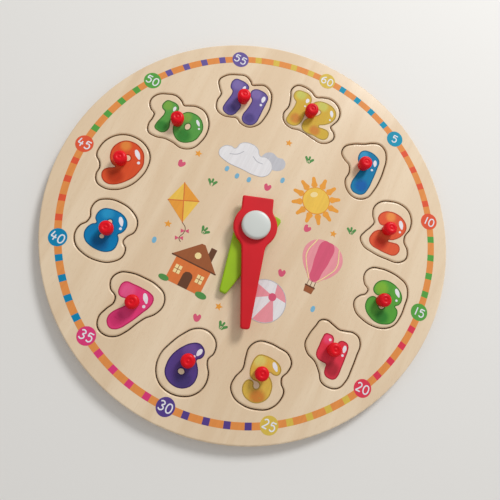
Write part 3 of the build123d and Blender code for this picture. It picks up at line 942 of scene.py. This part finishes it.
def picture(name, bearing, radius, shapes, turn=0.0, size=1.0):
    """Prints a stack of shapes. Each is its ink, its outlines or lines, and how it is drawn."""
    place = around(bearing, radius)
    parts = []
    for layer, (ink_name, lines, kind) in enumerate(shapes):
        finish = picture_inks[ink_name]
        if kind in ("round", "straight"):
            outlines = [turned(points, turn, size) for points in lines]
            parts.append(print_shape(outlines, place, finish, layer, kind == "round"))
        else:
            width, closed = kind
            drawn = [(turned(points, turn, size), closed) for points in lines]
            parts.append(print_line(drawn, place, finish, width * mm, layer))
    made = join_as(name, parts, "board")
    print(made.name, len(made.data.polygons), "faces")


def box_outline(left, low, right, top):
    return [(left, low), (right, low), (right, top), (left, top)]


def arc(x, y, radius, start, end):
    """Points along an arc, about six degrees apart, from one angle to another."""
    count = round(abs(end - start) / 6) + 1
    angles = [math.radians(start + (end - start) * i / (count - 1)) for i in range(count)]
    return [(x + radius * math.cos(angle), y + radius * math.sin(angle)) for angle in angles]


# %% [markdown]
# The sun's rays are one petal outline, turned round the disc. The ball's panels fan out from a small cap
# that sits off its middle, so that the ball looks round.

# %% Sun and ball
sun_radius = 9.2
petal = [(10.2, -1.9), (13.2, -1.5), (17.0, 0), (13.2, 1.5), (10.2, 1.9)]
rays = [turned(petal, 30 * step) for step in range(12)]
picture("picture_sun", 38, 53, [
    ("amber", rays, "round"),
    ("yellow", [oval(0, 0, sun_radius, count=16)], "round"),
    ("amber", [oval(0, 0, sun_radius, count=16)], (0.7, True)),
    ("cream", [oval(-3.0, 3.2, 2.6, 1.8, turn=40)], "round"),
], size=1.12)

ball_radius = 14
cap_place = (3.5, 4.5)
panels = []
for step in range(3):
    first = 20 + 120 * step
    rim = arc(0, 0, ball_radius, first, first + 58)
    near = arc(*cap_place, 2.2, first + 50, first + 8)
    panels.append(rim + near)
picture("picture_ball", 146, 53, [
    ("white", [oval(0, 0, ball_radius, count=20)], "round"),
    ("pink", panels, "straight"),
    ("rose", [oval(*cap_place, 2.6, count=8)], "round"),
    ("grey", [oval(0, 0, ball_radius, count=20)], (0.5, True)),
], size=1.1)

# %% [markdown]
# The balloon's envelope is rounded, with one darker gore down its middle and two seams that follow its
# bulge. The cloud stands before a greyer one, and three drops fall from it.

# %% Balloon and cloud
envelope = [
    (0, 20), (9, 18.4), (15, 12.4), (16.2, 4.5), (12.6, -4), (6.4, -10.6), (3.2, -14), (-3.2, -14),
    (-6.4, -10.6), (-12.6, -4), (-16.2, 4.5), (-15, 12.4), (-9, 18.4),
]
gore = [
    (-4.2, 19.3), (0, 20), (4.2, 19.3), (6, 6), (4.6, -4), (2.2, -13.6), (-2.2, -13.6), (-4.6, -4),
    (-6, 6),
]
seams = [[(side * 9.6, 18), (side * 13, 4), (side * 9, -5), (side * 3.4, -13.4)] for side in (-1, 1)]
picture("picture_balloon", 92, 55, [
    ("pink", [envelope], "round"),
    ("rose", [gore], "round"),
    ("cream", seams, (0.8, False)),
    ("umber", [[(-2.8, -14), (-3, -19)], [(2.8, -14), (3, -19)], [(0, -14), (0, -19)]], (0.45, False)),
    ("brown", [[(-4, -18.6), (4, -18.6), (3.3, -24), (-3.3, -24)]], "straight"),
    ("umber", [[(-4.2, -18.8), (4.2, -18.8)]], (1.0, False)),
], size=0.94)

cloud = [
    (-15, -7), (-19.5, -4.5), (-19, 1), (-14.5, 3.6), (-11.5, 3.4), (-9.5, 8.6), (-4, 11.4), (2, 10.4),
    (5.4, 6.6), (10, 7.6), (15, 5), (16.4, 0), (14, -5), (8, -7.2), (0, -7.4),
]
far_cloud = [
    (8, 3), (7, 8.6), (11.6, 12.6), (16.6, 11.4), (20.4, 12), (23.4, 8), (21.4, 3.6), (16, 1.6),
]
folds = [[(-13, -1.6), (-8.4, 0.6), (-5.4, 4.4)], [(1.4, 4.2), (5.6, 2.2), (9.4, 2.4)]]
drops = []
for x, y in ((-10, -12), (-2, -13.4), (6, -12)):
    drops.append([(x, y + 2.1), (x + 1.3, y - 0.4), (x, y - 1.7), (x - 1.3, y - 0.4)])
picture("picture_cloud", 330, 53, [
    ("grey", [far_cloud], "round"),
    ("white", [cloud], "round"),
    ("grey", [cloud], (0.5, True)),
    ("grey", folds, (0.6, False)),
    ("sky", drops, "round"),
], size=1.14)

# %% [markdown]
# The house is built from straight outlines, its wall first and its roof over it, with lines for the window
# bars and the eaves. The kite is one diamond with darker halves and crossed spars, and its tail carries two
# bows. It is turned a little, as if the wind had it.

# %% House and kite
door = [(-3.2, -13), (3.2, -13), (3.2, -5), (2.3, -3.2), (0, -2.4), (-2.3, -3.2), (-3.2, -5)]
left_window = box_outline(-9.8, -6.6, -5.4, -1.2)
right_window = box_outline(5.4, -6.6, 9.8, -1.2)
bars = [
    [(-7.6, -6.6), (-7.6, -1.2)], [(-9.8, -3.9), (-5.4, -3.9)],
    [(7.6, -6.6), (7.6, -1.2)], [(5.4, -3.9), (9.8, -3.9)],
]
picture("picture_house", 210, 54, [
    ("umber", [box_outline(5.4, 8, 9.4, 18)], "straight"),
    ("orange", [box_outline(-12, -13, 12, 5)], "straight"),
    ("brown", [[(-15.4, 3.4), (15.4, 3.4), (1.2, 17.6), (-1.2, 17.6)]], "straight"),
    ("umber", [[(-15.4, 3.4), (15.4, 3.4)]], (1.0, False)),
    ("umber", [door], "straight"),
    ("cream", [left_window, right_window, oval(0, 9.4, 2.2, count=8)], "straight"),
    ("brown", bars, (0.5, False)),
    ("leaf", [oval(-13, -12.4, 3.4, 1.8), oval(12.8, -12.4, 3.8, 2.0)], "round"),
], size=1.12)

bows = []
for x, y in ((2.2, -20.4), (-1.8, -26)):
    bows.append([(x, y), (x - 3, y + 1.6), (x - 3, y - 1.6)])
    bows.append([(x, y), (x + 3, y - 1.6), (x + 3, y + 1.6)])
picture("picture_kite", 262, 54, [
    ("umber", [[(0, -14), (2.4, -18), (1.4, -22), (-1.8, -26), (-0.6, -29)]], (0.5, False)),
    ("yellow", [[(0, 18), (12, 3.4), (0, -14), (-12, 3.4)]], "straight"),
    ("amber", [[(0, 18), (12, 3.4), (0, 3.4)], [(0, -14), (-12, 3.4), (0, 3.4)]], "straight"),
    ("orange", [[(0, 18), (0, -14)], [(-12, 3.4), (12, 3.4)]], (0.7, False)),
    ("rose", bows, "straight"),
], turn=24, size=0.95)

# %% [markdown]
# The small marks are a heart, a star, a tuft of leaves and a drop. Each is drawn once and printed again in
# other places, so that no gap in the ring of pictures looks bare.

# %% Small marks
heart = [(0, -2.8), (2.6, 0), (2.5, 1.9), (1.2, 2.6), (0, 1.4), (-1.2, 2.6), (-2.5, 1.9), (-2.6, 0)]
star_tip = 2.9
star_notch = 1.35
star = []
for step in range(10):
    reach = star_notch if step % 2 else star_tip
    angle = math.radians(36 * step)
    star.append((reach * math.sin(angle), reach * math.cos(angle)))
leaves = [
    [(0, -2.4), (2.2, -0.8), (3.6, 2.0), (1.2, 1.0)],
    [(0, -2.4), (-2.2, -0.4), (-3.2, 2.8), (-1.0, 1.2)],
    [(0, -2.4), (0.7, 0.6), (0.2, 3.6), (-0.7, 0.8)],
]
drop_mark = [(0, 2.6), (1.5, -0.4), (0, -2.1), (-1.5, -0.4)]
marks = {
    "heart": ("rose", [heart], "round"),
    "star": ("amber", [star], "straight"),
    "leaves": ("leaf", leaves, "round"),
    "drop": ("sky", [drop_mark], "round"),
}
mark_places = [
    ("leaves", 12, 70, 10), ("heart", 62, 40, -15), ("leaves", 64, 74, 20), ("star", 66, 60, 10),
    ("drop", 118, 72, 0), ("heart", 122, 38, 10), ("leaves", 172, 74, -8), ("star", 178, 62, 0),
    ("heart", 186, 76, 15), ("drop", 236, 72, 10), ("leaves", 240, 36, -12), ("star", 246, 62, 20),
    ("heart", 286, 72, -10), ("leaves", 292, 46, 12), ("star", 298, 70, 5), ("drop", 4, 44, 0),
    ("star", 356, 74, 12), ("heart", 352, 34, 5),
]
for count, (kind, bearing, radius, turn) in enumerate(mark_places, start=1):
    picture(f"mark_{kind}_{count}", bearing, radius, [marks[kind]], turn=turn)
print(len(mark_places), "small marks")
